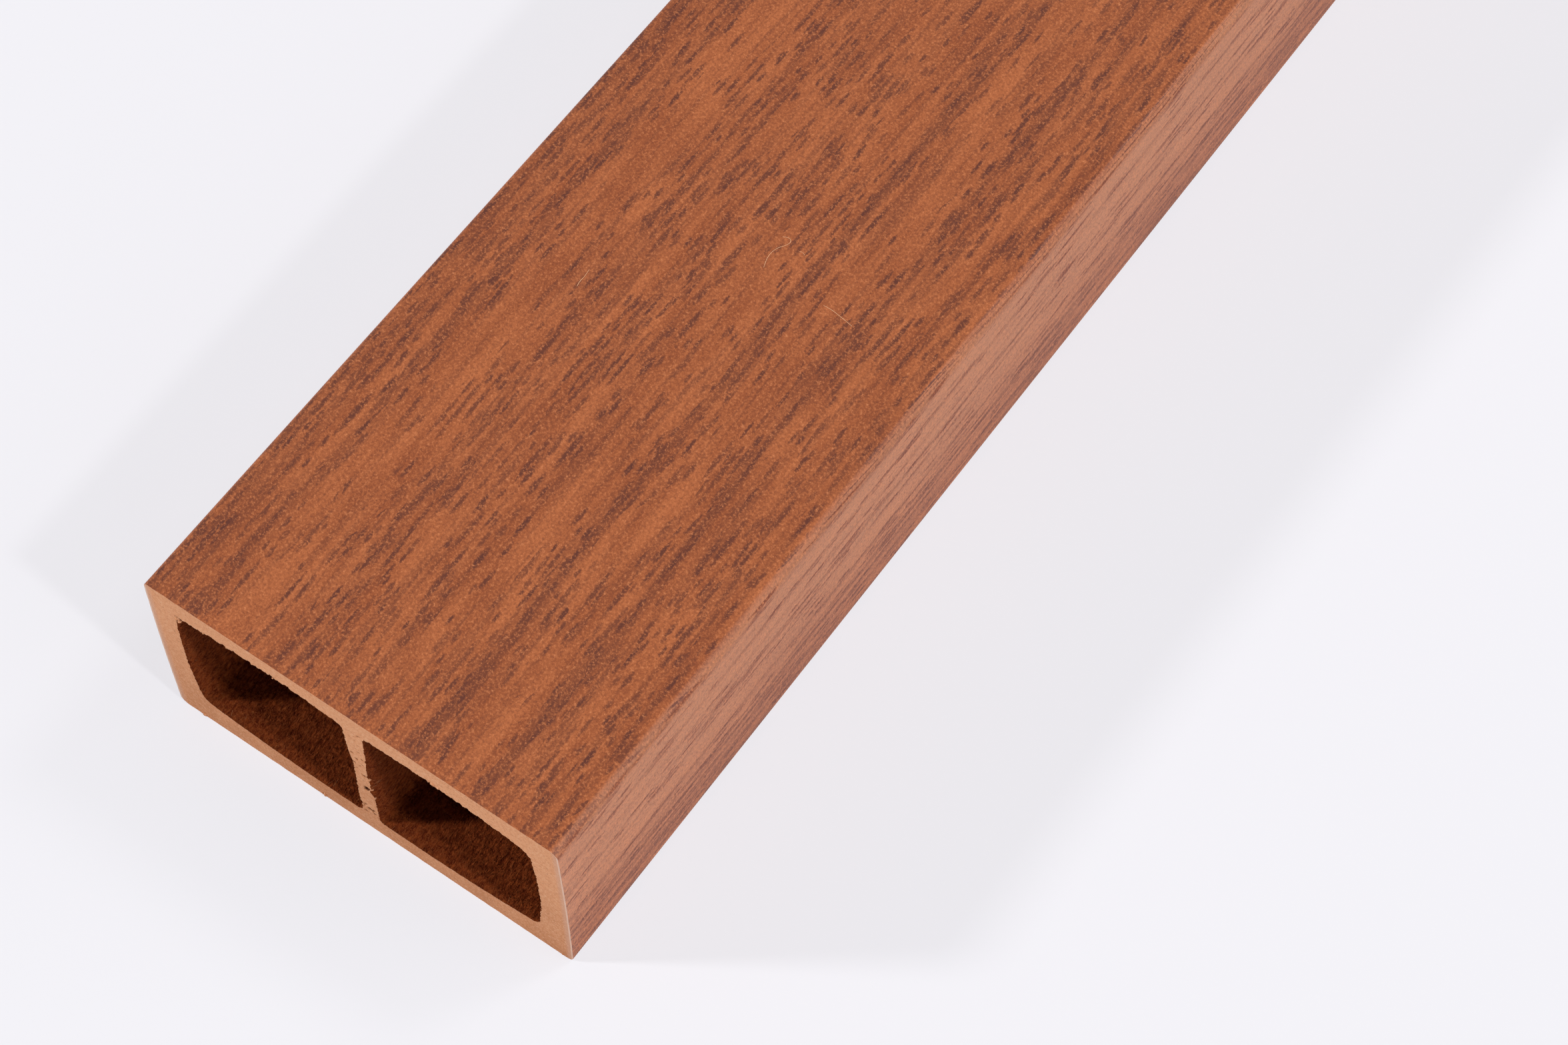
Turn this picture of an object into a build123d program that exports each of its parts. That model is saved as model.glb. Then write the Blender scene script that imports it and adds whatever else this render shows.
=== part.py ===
from build123d import *
import os

# Composite timber tube: one hollow extruded section with two chambers and a web between them, sawn square at
# both ends. It lies on its wide face with its length along Y. The origin is on the underside, at the middle of
# the width and of the length. All sizes are in millimetres.

# Stock size
tube_width = 100.0
tube_height = 50.0
tube_length = 3000.0
outer_corner_radius = 1.8

# Walls. Each wall of a chamber bows outwards, so it is thinnest near its middle and thickest at its corners.
web_thickness = 4.3
side_wall_at_corner = 7.6
side_wall_bow = 1.25
top_wall_at_web = 6.0
top_wall_at_corner = 7.4
top_wall_bow = 1.1
bottom_wall_at_web = 6.4
bottom_wall_at_corner = 8.6
bottom_wall_bow = 1.1

# Rounded corners inside the chambers, which the die needs for the melt to flow
web_corner_radius = 1.6
side_corner_radius = 2.2


def bowed_line(start, end, bow):
    """An arc from start to end that stands out by bow at its middle, to the right of the way it goes."""
    way = (Vector(*end) - Vector(*start)).normalized()
    middle = (Vector(*start) + Vector(*end)) / 2
    return ThreePointArc(start, middle + Vector(way.Y, -way.X) * bow, end)


def chamber_section():
    """The chamber on the +X side of the web, drawn with X across the tube and Y up from its underside."""
    web_face = web_thickness / 2
    side_face = tube_width / 2 - side_wall_at_corner
    floor_at_web = (web_face, bottom_wall_at_web)
    floor_at_side = (side_face, bottom_wall_at_corner)
    roof_at_side = (side_face, tube_height - top_wall_at_corner)
    roof_at_web = (web_face, tube_height - top_wall_at_web)
    outline = Curve() + [
        bowed_line(floor_at_web, floor_at_side, bottom_wall_bow),
        bowed_line(floor_at_side, roof_at_side, side_wall_bow),
        bowed_line(roof_at_side, roof_at_web, top_wall_bow),
        Line(roof_at_web, floor_at_web),
    ]
    chamber = make_face(outline)
    chamber = fillet(chamber.vertices().group_by(Axis.X)[-1], side_corner_radius)
    return fillet(chamber.vertices().group_by(Axis.X)[0], web_corner_radius)


def tube_section():
    """The whole cut face: the rounded rectangle less the two chambers."""
    blank = Rectangle(tube_width, tube_height, align=(Align.CENTER, Align.MIN))
    blank = fillet(blank.vertices(), outer_corner_radius)
    chamber = chamber_section()
    return blank - chamber - mirror(chamber, about=Plane.YZ)


tube = extrude(Plane.XZ * tube_section(), amount=tube_length / 2, both=True)

os.makedirs("parts", exist_ok=True)
export_step(tube, "parts/tube.step")
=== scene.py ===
import math

import bmesh
import bpy
import numpy as np
from mathutils import Matrix, Vector, geometry, noise


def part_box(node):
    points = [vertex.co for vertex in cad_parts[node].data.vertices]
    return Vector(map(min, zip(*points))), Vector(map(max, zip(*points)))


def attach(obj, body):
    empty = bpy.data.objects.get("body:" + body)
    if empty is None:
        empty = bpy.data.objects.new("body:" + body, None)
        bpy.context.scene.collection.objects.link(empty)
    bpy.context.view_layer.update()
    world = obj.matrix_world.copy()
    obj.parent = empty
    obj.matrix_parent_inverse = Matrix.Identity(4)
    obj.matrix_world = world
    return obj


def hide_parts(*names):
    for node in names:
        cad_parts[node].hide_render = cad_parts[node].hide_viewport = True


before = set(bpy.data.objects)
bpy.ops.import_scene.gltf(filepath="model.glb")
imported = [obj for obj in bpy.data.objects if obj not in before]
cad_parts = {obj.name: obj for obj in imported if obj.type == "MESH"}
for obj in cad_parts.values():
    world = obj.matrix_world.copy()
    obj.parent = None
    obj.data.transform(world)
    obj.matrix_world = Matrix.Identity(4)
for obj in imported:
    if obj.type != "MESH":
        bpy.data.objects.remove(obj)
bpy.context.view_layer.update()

# The tube
# One length of wood flour and PVC, lightly foamed and pushed through a die, with two chambers and a web
# between them. A wood grain is pressed hot onto its outside, and a saw cuts it square, which frays the cut.
mm = 0.001
tube_low, tube_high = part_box("tube")
near_end, far_end = tube_low.y / mm, tube_high.y / mm
side, top = tube_high.x / mm, tube_high.z / mm

# The section. Each outline is a ring of corners, anticlockwise as seen from the near end, with x across and
# z up in millimetres. Each side bows outwards by its own amount, as the die and the cooling leave it.
outer_corners = [(-side, 0), (side, 0), (side, top), (-side, top)]
side_bow = 0.35
outer_bows = [0.0, side_bow, 0.0, side_bow]
outer_radii = [1.8, 1.8, 2.1, 1.1]
outer_spacings = [1.3, 1.3, 1.3, 1.3]
left_corners = [(-42.3, 8.9), (-1.7, 6.3), (-2.0, 43.8), (-43.0, 43.4)]
left_bows = [1.0, 0.0, 1.5, 1.25]
left_radii = [2.2, 1.6, 1.5, 0.7]
left_spacings = [0.55, 0.5, 0.34, 0.5]
right_corners = [(2.45, 6.0), (42.4, 8.3), (42.6, 41.7), (2.9, 44.1)]
right_bows = [1.0, 1.25, 1.25, 0.0]
right_radii = [1.5, 2.0, 3.0, 1.4]
right_spacings = [0.55, 0.5, 0.34, 0.4]


def outline(corners, bows, radii, spacings):
    """The points of a ring, spaced along its bowed sides as each side needs, with each corner rounded."""
    corners = [np.array(c, float) for c in corners]
    sides = []
    for i, start in enumerate(corners):
        following = (i + 1) % len(corners)
        way = corners[following] - start
        length = np.linalg.norm(way)
        outwards = np.array([way[1], -way[0]]) / length
        steps = max(2, round(length / spacings[i]))
        share = np.linspace(radii[i] / length, 1 - radii[following] / length, steps)[:, None]
        sides.append(start + way * share + outwards * bows[i] * 4 * share * (1 - share))
    points = []
    for i, line in enumerate(sides):
        following = (i + 1) % len(corners)
        before, corner, after = line[-1], corners[following], sides[following][0]
        steps = max(3, round(quarter_turn * radii[following] / corner_spacing))
        share = np.linspace(0, 1, steps + 2)[1:-1, None]
        handle_a = before + (corner - before) * round_pull
        handle_b = after + (corner - after) * round_pull
        arc = before * (1 - share) ** 3 + 3 * handle_a * share * (1 - share) ** 2
        arc = arc + 3 * handle_b * share * share * (1 - share) + after * share ** 3
        points.extend([line, arc])
    return np.vstack(points)


# How far a corner's handles reach towards it, so that its curve comes out round, about how long that curve
# is for a radius of 1, and how far apart its points lie. The mouths have the closest points in their roofs,
# where the saw frays them most.
round_pull, quarter_turn, corner_spacing = 0.552, 1.5, 0.5
outer = outline(outer_corners, outer_bows, outer_radii, outer_spacings)
mouths = [outline(left_corners, left_bows, left_radii, left_spacings),
          outline(right_corners, right_bows, right_radii, right_spacings)]

# The saw frays the mouth of each chamber. A fray is a bite out of the wall, or a burr that hangs into the
# mouth where its depth is negative: place x and z, depth and half width. A finer ripple runs all the way
# round, with a depth of its own for the roof, the sides and the floor, and another on the web's right edge.
fray_marks = [
    (-43.0, 43.4, 1.1, 0.55), (-42.6, 40.0, 0.25, 0.5), (-43.2, 37.5, 0.3, 0.6), (-43.5, 34.6, 0.2, 0.5),
    (-31.0, 44.6, 0.35, 0.5), (-28.2, 44.8, 0.3, 0.4), (-24.5, 45.0, 0.3, 0.6), (-21.6, 45.1, 0.45, 0.4),
    (-19.2, 45.1, 0.5, 0.45), (-15.4, 45.0, 0.3, 0.5), (-12.1, 44.8, 0.25, 0.4),
    (16.4, 45.2, 0.35, 0.6), (20.3, 45.1, -0.55, 0.45), (21.7, 45.1, -0.45, 0.3), (23.4, 44.9, 0.3, 0.5),
    (26.5, 44.7, 0.3, 0.5), (30.6, 44.3, 0.35, 0.45), (33.2, 43.9, 0.25, 0.5), (36.0, 43.3, 0.25, 0.5),
    (42.9, 14.0, -0.2, 0.5), (2.7, 27.0, 0.80, 7.5), (2.6, 28.9, 0.25, 0.30), (2.6, 25.6, 0.45, 0.35),
    (2.6, 24.7, -0.45, 0.35), (2.6, 21.6, 0.20, 0.50), (2.6, 18.8, 0.85, 0.90), (2.6, 17.0, -0.25, 0.30),
    (2.6, 15.9, 0.20, 0.25), (2.6, 13.9, 0.25, 0.30), (2.6, 12.9, 0.20, 0.20), (2.6, 11.0, 0.20, 0.35),
    (2.8, 33.4, 0.20, 0.30), (2.8, 37.0, 0.15, 0.40), (-1.9, 30.0, 0.15, 1.0), (-1.8, 10.5, 0.20, 0.4),
]
fray_roof, fray_side, fray_floor = 0.55, 0.32, 0.10
ripple, fine_ripple = 0.9, 0.4
ripple_share, burr_share, fine_share = 2.2, 0.4, 0.5
web_edge, web_fray = (0, 4), 0.30


def rough(x, z, grain, layer):
    """Smooth noise from about -1 to 1 in the plane of the section, with a grain size and its own layer."""
    return noise.noise(Vector((x / grain, z / grain, layer)))


def frayed(ring):
    """The mouth's ring as the saw leaves it: a fine ripple, largest in the roof, and the marks above."""
    result = ring.copy()
    for i, point in enumerate(ring):
        along = ring[(i + 1) % len(ring)] - ring[i - 1]
        outwards = np.array([along[1], -along[0]]) / np.linalg.norm(along)
        roof, floor = max(outwards[1], 0), max(-outwards[1], 0)
        size = fray_side + (fray_roof - fray_side) * roof + (fray_floor - fray_side) * floor
        depth = size * (ripple_share * abs(rough(*point, ripple, 3.0)) - burr_share)
        depth += fine_share * size * rough(*point, fine_ripple, 8.0)
        if web_edge[0] < point[0] < web_edge[1]:
            depth += web_fray * rough(*point, ripple, 6.0)
        for x, z, bite, half in fray_marks:
            away = math.hypot(point[0] - x, point[1] - z)
            depth += bite * math.exp(-(away / half) ** 2)
        result[i] += outwards * depth
    return result


frayed_mouths = [frayed(ring) for ring in mouths]

# The sawn face between the outlines is filled with points about as far apart as its grain of wood flour,
# and twice as close in the web, which is torn.
random = np.random.default_rng(11)
torn_low, torn_high = (-1.9, 6.0), (3.0, 44.0)
face_spacing, face_jitter = 0.44, 0.13
web_spacing, web_jitter = 0.21, 0.06


def scattered(low, high, spacing, jitter, row_share=0.866):
    """Points in staggered rows between two corners, each moved a little at random."""
    columns = np.arange(low[0], high[0], spacing)
    rows = np.arange(low[1], high[1], spacing * row_share)
    points = np.array([(x + spacing / 2 * (j % 2), z) for j, z in enumerate(rows) for x in columns])
    return points + random.uniform(-jitter, jitter, points.shape)


grid = scattered((-side, 0), (side, top), face_spacing, face_jitter)
fine = scattered(torn_low, torn_high, web_spacing, web_jitter)
in_web = (grid > np.array(torn_low)).all(axis=1) & (grid < np.array(torn_high)).all(axis=1)
grid = np.vstack([grid[~in_web], fine])


def inside(points, ring):
    """Says which points lie within a ring, by how often a line from each crosses it."""
    hits = np.zeros(len(points), bool)
    for (ax, az), (bx, bz) in zip(ring, np.roll(ring, -1, axis=0)):
        spans = (az > points[:, 1]) != (bz > points[:, 1])
        cross = ax + (points[:, 1] - az) * (bx - ax) / (bz - az if bz != az else 1e-9)
        hits ^= spans & (points[:, 0] < cross)
    return hits


def clear_of(points, ring, gap):
    """Says which points keep at least that gap from every point of a ring."""
    result = np.ones(len(points), bool)
    for x, z in ring:
        result &= (points[:, 0] - x) ** 2 + (points[:, 1] - z) ** 2 > gap * gap
    return result


mouth_gap, outer_gap = 0.2, 0.6
keep = inside(grid, outer) & clear_of(grid, outer, outer_gap)
for ring in frayed_mouths:
    keep &= ~inside(grid, ring) & clear_of(grid, ring, mouth_gap)
grid = grid[keep]

# Each point has an owner: 0 for the outside, 1 and 2 for the mouths, and another number within the face. No
# triangle across a mouth is kept.
rings = [outer] + frayed_mouths
in_face, same_place = 9, 1e-6
flat = np.vstack(rings + [grid])
owner = np.concatenate([np.full(len(r), i) for i, r in enumerate(rings)] + [np.full(len(grid), in_face)])
edges, first = [], 0
for ring in rings:
    edges += [(first + i, first + (i + 1) % len(ring)) for i in range(len(ring))]
    first += len(ring)
net = geometry.delaunay_2d_cdt([Vector(p) for p in flat], edges, [], 0, same_place)
flat = np.array([tuple(p) for p in net[0]])
sources = [ids[0] if ids else -1 for ids in net[3]]
owner = np.array([owner[i] if i >= 0 else in_face for i in sources])
triangles = [face for face in net[2]
             if len({owner[i] for i in face}) > 1 or owner[face[0]] in (0, in_face)]
used = sorted({i for face in triangles for i in face})
place = {old: new for new, old in enumerate(used)}
triangles = [[place[i] for i in face] for face in triangles]
flat, owner, sources = flat[used], owner[used], [sources[i] for i in used]

# How far each point of a frayed mouth goes back to reach the clean wall behind it, and how far round the
# outside each outer point lies from the middle of the top face, growing to the right.
clean = np.vstack([outer] + mouths)
step = np.linalg.norm(outer - np.roll(outer, 1, axis=0), axis=1)
travelled = np.cumsum(step)
top_middle = int(np.argmin(np.abs(outer[:, 0]) + (top - outer[:, 1]) * 10))
girth = travelled[-1] + np.linalg.norm(outer[0] - outer[-1])
wrap = travelled[top_middle] - travelled - outer[top_middle, 0]
wrap = (wrap + girth / 2) % girth - girth / 2

# The cut is nearly flat, with a grain of wood flour. Where the blade pulled grains out of the web it left
# small ragged holes, each given as place x and z, depth and half width.
pulled_grains = [
    (1.8, 43.3, 0.40, 0.28), (2.3, 43.7, 0.34, 0.22), (0.8, 42.3, 0.29, 0.19), (0.8, 40.4, 0.34, 0.22),
    (-0.4, 41.2, 0.29, 0.19), (1.5, 38.9, 0.29, 0.20), (-1.0, 33.5, 0.69, 0.33), (1.0, 35.4, 0.63, 0.30),
    (0.4, 36.4, 0.34, 0.21), (0.0, 31.6, 0.69, 0.31), (-0.9, 29.1, 0.69, 0.30), (0.6, 29.3, 0.52, 0.25),
    (1.3, 30.2, 0.52, 0.25), (1.5, 32.9, 0.69, 0.31), (-0.5, 27.1, 0.40, 0.22), (0.5, 25.7, 0.34, 0.21),
    (1.0, 25.0, 0.80, 0.44), (0.9, 19.3, 0.95, 0.69), (0.5, 18.4, 0.69, 0.38), (-0.9, 22.4, 0.34, 0.20),
    (-1.3, 17.0, 0.34, 0.22), (-0.7, 13.2, 0.34, 0.22), (-0.7, 10.4, 0.69, 0.38), (-1.2, 9.6, 0.52, 0.31),
    (0.2, 9.2, 0.92, 0.50), (0.7, 9.0, 0.80, 0.40), (-0.9, 7.1, 0.69, 0.38), (1.3, 8.1, 0.69, 0.40),
    (1.3, 9.4, 0.52, 0.28), (2.0, 7.0, 0.40, 0.25),
]
flour_relief, flour_grain, flour_swell, swell_share = 0.05, 0.7, 2.3, 0.6
hole_reach, hole_ripple, hole_rag, hole_steepness = 3, 0.3, 0.5, 4
highest, deepest = 0.12, 1.0
dent = np.zeros(len(flat))
for i, (x, z) in enumerate(flat):
    grains = rough(x, z, flour_grain, 1.0) + swell_share * rough(x, z, flour_swell, 5.0)
    dent[i] = flour_relief * grains
    for hole_x, hole_z, depth, half in pulled_grains:
        away = math.hypot(x - hole_x, z - hole_z) / half
        if away < hole_reach:
            away += hole_rag * rough(x, z, hole_ripple, 4.0)
            dent[i] += depth * math.exp(-max(away, 0) ** hole_steepness)
dent = np.clip(dent, -highest, deepest)


def placed(name, data):
    """Puts a mesh, a lamp or a camera into the scene as an object."""
    thing = bpy.data.objects.new(name, data)
    bpy.context.scene.collection.objects.link(thing)
    return thing


cut = bpy.data.meshes.new("tube_cut")
cut.from_pydata([(x * mm, 0, z * mm) for x, z in flat], [], triangles)
dents = cut.attributes.new("dent", "FLOAT", "POINT")
dents.data.foreach_set("value", dent * mm)
# Points that aren't on the outside share one wrap, far past every real one.
off_outside, wrap_limit = 9.0, 5.0
around = cut.attributes.new("wrap", "FLOAT", "POINT")
around.data.foreach_set("value", [wrap[s] * mm if o == 0 else off_outside for s, o in zip(sources, owner)])
mend = np.zeros((len(flat), 3))
for i, (source, ring) in enumerate(zip(sources, owner)):
    if ring in (1, 2):
        mend[i, [0, 2]] = (clean[source] - flat[i]) * mm
mends = cut.attributes.new("mend", "FLOAT_VECTOR", "POINT")
mends.data.foreach_set("vector", mend.ravel())
tube = placed("tube_body", cut)

# Rings lie evenly over the first stretch of the near end, where the chamber walls show, and then further
# and further apart to mid-length. The far half has fewer rings and no even stretch.
half_length = (far_end - near_end) / 2
even_rings, even_gap = 32, 0.9
near_rings, far_rings = 48, 18


def growth_to(distance, gap, count):
    """The ratio by which each of a number of gaps grows on the one before, to reach a distance."""
    low, high = 1.0001, 5.0
    for _ in range(60):
        ratio = (low + high) / 2
        reached = gap * ratio * (ratio ** count - 1) / (ratio - 1)
        low, high = (ratio, high) if reached < distance else (low, ratio)
    return ratio


near_growth = growth_to(half_length - even_rings * even_gap, even_gap, near_rings - even_rings)
far_growth = growth_to(half_length, even_gap, far_rings)


def add(tree, kind, inputs=None, **settings):
    """Adds a node with its settings. Its inputs go by name or number: a value, a socket or a node."""
    node = tree.nodes.new(kind)
    for name, value in settings.items():
        setattr(node, name, value)
    for key, value in (inputs or {}).items():
        usable = [s for s in node.inputs if s.enabled]
        target = usable[key] if isinstance(key, int) else next(s for s in usable if s.name == key)
        if isinstance(value, bpy.types.Node):
            value = next(s for s in value.outputs if s.enabled)
        if isinstance(value, bpy.types.NodeSocket):
            tree.links.new(value, target)
        else:
            target.default_value = value
    return node


def new_shape_tree(name, sizes):
    """Makes a Geometry Nodes tree with a geometry in and out, and with named inputs of each kind."""
    tree = bpy.data.node_groups.new(name, "GeometryNodeTree")
    tree.interface.new_socket("Geometry", in_out="INPUT", socket_type="NodeSocketGeometry")
    for kind, names in sizes.items():
        for size in names:
            tree.interface.new_socket(size, in_out="INPUT", socket_type="NodeSocket" + kind)
    tree.interface.new_socket("Geometry", in_out="OUTPUT", socket_type="NodeSocketGeometry")
    return tree, add(tree, "NodeGroupInput").outputs


sweep, given = new_shape_tree("tube_sweep", {
    "Float": ["Half Length", "Even Gap", "Near Growth", "Far Growth", "Fray Depth", "Wall Relief"],
    "Int": ["Even Rings", "Near Rings", "Far Rings"],
    "Material": ["Print", "Chamber", "Cut"],
})

# The rim of the near cut is pushed on one ring at a time, a metre a ring, so that Y counts the rings. A copy
# of the cut, turned round, closes the far end, and is welded on.
weld_gap = 0.02
both_halves = add(sweep, "ShaderNodeMath", {0: given["Near Rings"], 1: given["Far Rings"]}, operation="ADD")
neighbours = add(sweep, "GeometryNodeInputMeshEdgeNeighbors")
rim = add(sweep, "FunctionNodeCompare", {0: neighbours, 1: 1}, data_type="INT", operation="EQUAL")
rimmed = add(sweep, "GeometryNodeStoreNamedAttribute",
             {"Geometry": given["Geometry"], "Name": "front", "Value": rim},
             data_type="BOOLEAN", domain="EDGE")
repeat_in = sweep.nodes.new("GeometryNodeRepeatInput")
repeat_out = sweep.nodes.new("GeometryNodeRepeatOutput")
repeat_in.pair_with_output(repeat_out)
sweep.links.new(both_halves.outputs[0], repeat_in.inputs["Iterations"])
sweep.links.new(rimmed.outputs[0], repeat_in.inputs["Geometry"])
front = add(sweep, "GeometryNodeInputNamedAttribute", {"Name": "front"}, data_type="BOOLEAN")
one_ring = add(sweep, "ShaderNodeCombineXYZ", {"Y": 1.0})
pushed = add(sweep, "GeometryNodeExtrudeMesh",
             {"Mesh": repeat_in.outputs["Geometry"], "Selection": front, "Offset": one_ring,
              "Offset Scale": 1.0},
             mode="EDGES")
fronted = add(sweep, "GeometryNodeStoreNamedAttribute",
              {"Geometry": pushed.outputs["Mesh"], "Name": "front", "Value": pushed.outputs["Top"]},
              data_type="BOOLEAN", domain="EDGE")
walled = add(sweep, "GeometryNodeStoreNamedAttribute",
             {"Geometry": fronted, "Selection": pushed.outputs["Side"], "Name": "wall", "Value": True},
             data_type="BOOLEAN", domain="FACE")
sweep.links.new(walled.outputs[0], repeat_out.inputs["Geometry"])
shift = add(sweep, "ShaderNodeCombineXYZ", {"Y": both_halves})
far_cut = add(sweep, "GeometryNodeSetPosition", {"Geometry": rimmed, "Offset": shift})
far_cut = add(sweep, "GeometryNodeFlipFaces", {0: far_cut})
joined = add(sweep, "GeometryNodeJoinGeometry", {0: far_cut})
sweep.links.new(repeat_out.outputs["Geometry"], joined.inputs[0])
whole = add(sweep, "GeometryNodeMergeByDistance", {"Geometry": joined, "Distance": weld_gap * mm})

# Each ring's number gives its depth behind the nearer end, and the depth gives its real place.
position = add(sweep, "GeometryNodeInputPosition")
parts = add(sweep, "ShaderNodeSeparateXYZ", {0: position})
ring_number = parts.outputs["Y"]
past_middle = add(sweep, "ShaderNodeMath", {0: ring_number, 1: given["Near Rings"]}, operation="SUBTRACT")
is_far = add(sweep, "ShaderNodeMath", {0: past_middle, 1: 0.0}, operation="GREATER_THAN")
from_far = add(sweep, "ShaderNodeMath", {0: both_halves, 1: ring_number}, operation="SUBTRACT")
ratio = add(sweep, "ShaderNodeMix", {"Factor": is_far, "A": given["Near Growth"], "B": given["Far Growth"]})
even = add(sweep, "ShaderNodeMath", {0: ring_number, 1: given["Even Rings"]}, operation="MINIMUM")
even = add(sweep, "ShaderNodeMix", {"Factor": is_far, "A": even, "B": 0.0})
grown = add(sweep, "ShaderNodeMath", {0: ring_number, 1: even}, operation="SUBTRACT")
grown = add(sweep, "ShaderNodeMix", {"Factor": is_far, "A": grown, "B": from_far})
power = add(sweep, "ShaderNodeMath", {0: ratio, 1: grown}, operation="POWER")
rise = add(sweep, "ShaderNodeMath", {0: power, 1: 1.0}, operation="SUBTRACT")
rise = add(sweep, "ShaderNodeMath", {0: rise, 1: ratio}, operation="MULTIPLY")
less_one = add(sweep, "ShaderNodeMath", {0: ratio, 1: 1.0}, operation="SUBTRACT")
gaps = add(sweep, "ShaderNodeMath", {0: rise, 1: less_one}, operation="DIVIDE")
gaps = add(sweep, "ShaderNodeMath", {0: gaps, 1: even}, operation="ADD")
depth = add(sweep, "ShaderNodeMath", {0: gaps, 1: given["Even Gap"]}, operation="MULTIPLY")
from_middle = add(sweep, "ShaderNodeMath", {0: given["Half Length"], 1: depth}, operation="SUBTRACT")
half_sign = add(sweep, "ShaderNodeMath", {0: is_far, 1: 2.0, 2: -1.0}, operation="MULTIPLY_ADD")
new_y = add(sweep, "ShaderNodeMath", {0: from_middle, 1: half_sign}, operation="MULTIPLY")
placed_at = add(sweep, "ShaderNodeCombineXYZ",
                {"X": parts.outputs["X"], "Y": new_y, "Z": parts.outputs["Z"]})
depth_kept = add(sweep, "GeometryNodeStoreNamedAttribute",
                 {"Geometry": whole, "Name": "depth", "Value": depth},
                 data_type="FLOAT", domain="POINT")
spaced = add(sweep, "GeometryNodeSetPosition", {"Geometry": depth_kept, "Position": placed_at})

# Behind the cut, the frayed edge of each mouth runs out into the clean wall.
kept_depth = add(sweep, "GeometryNodeInputNamedAttribute", {"Name": "depth"}, data_type="FLOAT")
healed = add(sweep, "ShaderNodeMapRange", {"Value": kept_depth, "From Max": given["Fray Depth"]},
             interpolation_type="SMOOTHSTEP")
mend_way = add(sweep, "GeometryNodeInputNamedAttribute", {"Name": "mend"}, data_type="FLOAT_VECTOR")
mend_now = add(sweep, "ShaderNodeVectorMath", {0: mend_way, "Scale": healed}, operation="SCALE")
mended = add(sweep, "GeometryNodeSetPosition", {"Geometry": spaced, "Offset": mend_now})

# The die leaves the chamber walls rough: low lumps that stretch along the tube, from just behind the cut.
lump_size, lump_stretch, lumps_from, lumps_full = 1.8, (1.0, 0.45, 1.0), 0.2, 2.5
wall_part = add(sweep, "GeometryNodeInputNamedAttribute", {"Name": "wrap"}, data_type="FLOAT")
is_chamber = add(sweep, "FunctionNodeCompare", {0: wall_part, 1: wrap_limit}, data_type="FLOAT",
                 operation="GREATER_THAN")
inner = add(sweep, "ShaderNodeMapRange",
            {"Value": kept_depth, "From Min": lumps_from * mm, "From Max": lumps_full * mm},
            interpolation_type="SMOOTHSTEP")
lump_place = add(sweep, "ShaderNodeVectorMath", {0: position, 1: lump_stretch}, operation="MULTIPLY")
lumps = add(sweep, "ShaderNodeTexNoise",
            {"Vector": lump_place, "Scale": 1 / (lump_size * mm), "Detail": 2.0})
lump_height = add(sweep, "ShaderNodeMath", {0: lumps, 1: 0.5}, operation="SUBTRACT")
lump_height = add(sweep, "ShaderNodeMath", {0: lump_height, 1: inner}, operation="MULTIPLY")
lump_height = add(sweep, "ShaderNodeMath", {0: lump_height, 1: given["Wall Relief"]}, operation="MULTIPLY")
normal = add(sweep, "GeometryNodeInputNormal")
lump_way = add(sweep, "ShaderNodeVectorMath", {0: normal, "Scale": lump_height}, operation="SCALE")
lumped = add(sweep, "GeometryNodeSetPosition",
             {"Geometry": mended, "Selection": is_chamber, "Offset": lump_way})

# The cut's own relief goes into the tube from both ends.
cut_depth = 0.1
dent_now = add(sweep, "GeometryNodeInputNamedAttribute", {"Name": "dent"}, data_type="FLOAT")
at_end = add(sweep, "FunctionNodeCompare", {0: kept_depth, 1: cut_depth * mm}, data_type="FLOAT",
             operation="LESS_THAN")
now_y = add(sweep, "ShaderNodeSeparateXYZ", {0: position}).outputs["Y"]
inwards = add(sweep, "ShaderNodeMath", {0: now_y}, operation="SIGN")
inwards = add(sweep, "ShaderNodeMath", {0: inwards, 1: -1.0}, operation="MULTIPLY")
dent_y = add(sweep, "ShaderNodeMath", {0: dent_now, 1: inwards}, operation="MULTIPLY")
dent_way = add(sweep, "ShaderNodeCombineXYZ", {"Y": dent_y})
dented = add(sweep, "GeometryNodeSetPosition",
             {"Geometry": lumped, "Selection": at_end, "Offset": dent_way})

# The foil covers the outside and the rough skin the chambers, and the two cuts are bare composite.
is_wall = add(sweep, "GeometryNodeInputNamedAttribute", {"Name": "wall"}, data_type="BOOLEAN")
smooth = add(sweep, "GeometryNodeSetShadeSmooth", {"Geometry": dented, "Shade Smooth": True})
printed = add(sweep, "GeometryNodeSetMaterial", {"Geometry": smooth, "Material": given["Print"]})
chambered = add(sweep, "FunctionNodeBooleanMath", {0: is_wall, 1: is_chamber}, operation="AND")
skinned = add(sweep, "GeometryNodeSetMaterial",
              {"Geometry": printed, "Selection": chambered, "Material": given["Chamber"]})
not_wall = add(sweep, "FunctionNodeBooleanMath", {0: is_wall}, operation="NOT")
sawn = add(sweep, "GeometryNodeSetMaterial",
           {"Geometry": skinned, "Selection": not_wall, "Material": given["Cut"]})
real = add(sweep, "GeometryNodeRealizeInstances", {0: sawn})
add(sweep, "NodeGroupOutput", {0: real})


def colour(text):
    """Turns an sRGB hex value into the linear colour that Blender's nodes take."""
    parts = [int(text[i:i + 2], 16) / 255 for i in (1, 3, 5)]
    return [c / 12.92 if c <= 0.04045 else ((c + 0.055) / 1.055) ** 2.4 for c in parts] + [1.0]


def new_material(name):
    """Makes a material whose nodes are still to be added, and returns it with its node tree."""
    material = bpy.data.materials.new(name)
    material.use_nodes = True
    material.node_tree.nodes.clear()
    return material, material.node_tree


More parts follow.
